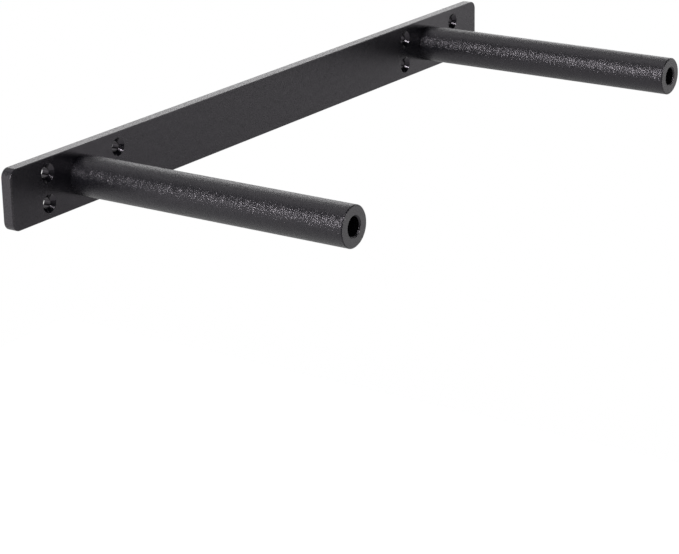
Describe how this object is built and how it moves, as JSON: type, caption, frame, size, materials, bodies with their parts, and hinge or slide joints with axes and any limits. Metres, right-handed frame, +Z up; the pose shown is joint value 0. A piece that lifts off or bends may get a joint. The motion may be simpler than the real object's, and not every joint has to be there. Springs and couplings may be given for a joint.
{
  "type": "floating shelf bracket",
  "caption": "Flat steel wall bar with countersunk screw holes and thick-walled rods standing square out of it, for a shelf that hides its support.",
  "frame": {"origin": "centre of the bar's flat back face, which lies on the wall", "axes": "+X along the bar, +Y into the wall, +Z up; the rods stand out towards -Y"},
  "size_m": [0.4572, 0.1778, 0.0334],
  "materials": {
    "bar_coat": "fine-textured black powder coat, satin",
    "rod_coat": "sandy black powder coat, satin",
    "weld_coat": "black powder coat over a ground weld"
  },
  "bodies": {
    "root": {"back_plate": "bar_coat", "left_rod": "rod_coat", "left_weld": "weld_coat", "right_rod": "rod_coat", "right_weld": "weld_coat"}
  },
  "joints": []
}
